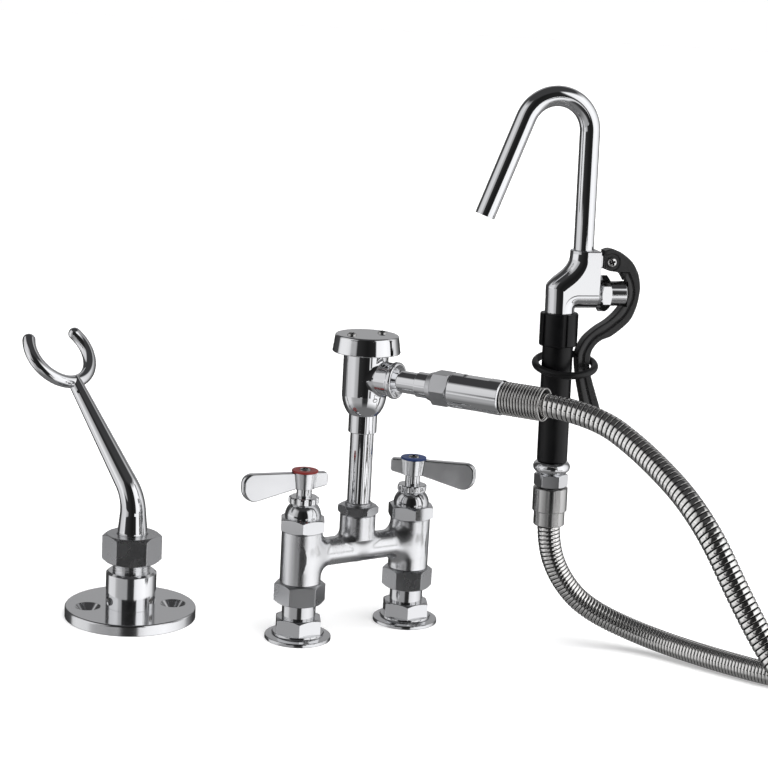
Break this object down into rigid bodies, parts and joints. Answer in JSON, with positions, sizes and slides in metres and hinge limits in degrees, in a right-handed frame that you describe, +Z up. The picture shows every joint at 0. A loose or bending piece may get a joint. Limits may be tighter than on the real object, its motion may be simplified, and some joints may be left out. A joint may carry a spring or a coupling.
{
  "type": "pot filler",
  "caption": "Deck mounted pot filler: bridge mixing faucet with lever handles, vacuum breaker, flexible steel hose, hook nozzle with squeeze valve, and a post with a fork that holds the nozzle.",
  "frame": {"origin": "on the deck, midway between the hot and cold inlets", "axes": "+X from the hot inlet to the cold inlet, +Z up, -Y towards the user"},
  "size_m": [0.5418, 0.7384, 0.437],
  "materials": {
    "chrome": "polished plating",
    "hose_steel": "interlocked bright strip",
    "screw_steel": "bright",
    "brass": "turned",
    "seal_rubber": "matt",
    "grip_rubber": "satin",
    "lever_black": "satin coat",
    "ring_black": "satin coat",
    "index_red": "gloss",
    "index_blue": "gloss",
    "float_plastic": "matt"
  },
  "bodies": {
    "faucet": {"flanged_inlet_hot": "chrome", "flanged_inlet_cold": "chrome", "coupling_nut_hot": "chrome", "coupling_nut_cold": "chrome", "inlet_washer_hot": "seal_rubber", "inlet_washer_cold": "seal_rubber", "bridge_body": "chrome", "bonnet_hot": "chrome", "bonnet_cold": "chrome", "packing_nut_hot": "chrome", "packing_nut_cold": "chrome", "stem_seal_hot": "seal_rubber", "stem_seal_cold": "seal_rubber", "outlet_nut": "chrome", "riser_pipe": "chrome", "riser_seal": "seal_rubber", "vacuum_breaker_body": "chrome", "vacuum_breaker_seat": "seal_rubber", "vacuum_breaker_cap": "chrome", "cap_screws": "screw_steel", "outlet_nipple": "chrome", "hose_union_nut": "chrome", "hose_adapter": "chrome", "hose_guard_spring": "hose_steel", "hose_upper_run": "hose_steel", "hose_coil": "hose_steel", "hose_lower_run": "hose_steel", "hose_ferrule": "chrome", "holder_flange": "chrome", "holder_body": "chrome", "holder_set_screws": "screw_steel", "holder_nut": "chrome"},
    "hot_handle": {"stem_hot": "chrome", "seat_washer_hot": "seal_rubber", "lever_hot": "chrome", "index_ring_hot": "index_red", "handle_screw_hot": "screw_steel"},
    "cold_handle": {"stem_cold": "chrome", "seat_washer_cold": "seal_rubber", "lever_cold": "chrome", "index_ring_cold": "index_blue", "handle_screw_cold": "screw_steel"},
    "vacuum_float": {"vacuum_breaker_float": "float_plastic"},
    "hook_arm": {"holder_arm": "chrome", "fork": "chrome"},
    "nozzle": {"handle_tube": "chrome", "handle_nut": "chrome", "handle_ring": "chrome", "grip": "grip_rubber", "grip_collar": "grip_rubber", "valve_body": "chrome", "spout": "chrome", "gland_nut": "chrome", "valve_seat": "brass", "lever_screw": "screw_steel"},
    "squeeze": {"squeeze_lever": "lever_black"},
    "valve_plunger": {"plunger": "chrome", "valve_disc": "seal_rubber", "valve_spring": "screw_steel"},
    "lock_ring": {"hold_down_ring": "ring_black"}
  },
  "joints": [
    {"name": "hot_handle_turn", "type": "hinge", "parent": "faucet", "child": "hot_handle", "pos_m": [-0.0508, 0, 0.12], "axis": [0, 0, 1], "range_deg": [0, 90]},
    {"name": "cold_handle_turn", "type": "hinge", "parent": "faucet", "child": "cold_handle", "pos_m": [0.0508, 0, 0.12], "axis": [0, 0, -1], "range_deg": [-54, 36]},
    {"name": "vacuum_float_lift", "type": "slide", "parent": "faucet", "child": "vacuum_float", "axis": [0, 0, 1], "range_m": [0, 0.004]},
    {"name": "hook_arm_swivel", "type": "hinge", "parent": "faucet", "child": "hook_arm", "pos_m": [-0.1461, 0.1017, 0.06], "axis": [0, 0, 1], "continuous": true},
    {"name": "nozzle_swivel", "type": "hinge", "parent": "faucet", "child": "nozzle", "pos_m": [0.12103, -0.08928, 0.09652], "axis": [-0.0173, 0.0118, 0.9998], "continuous": true},
    {"name": "squeeze_lever_press", "type": "hinge", "parent": "nozzle", "child": "squeeze", "pos_m": [0.15261, -0.10116, 0.30555], "axis": [0.3771, 0.9261, -0.0044], "range_deg": [0, 1.5], "stiffness_Nm_per_rad": 8},
    {"name": "plunger_push", "type": "slide", "parent": "nozzle", "child": "valve_plunger", "axis": [-0.926, 0.377, -0.0205], "range_m": [0, 0.0007]},
    {"name": "lock_ring_slide", "type": "slide", "parent": "nozzle", "child": "lock_ring", "axis": [-0.0173, 0.0118, 0.9998], "range_m": [-0.002, 0.006]}
  ],
  "couplings": [
    {"joint": "plunger_push", "follows": "squeeze_lever_press", "m_per_rad": 0.0248}
  ]
}
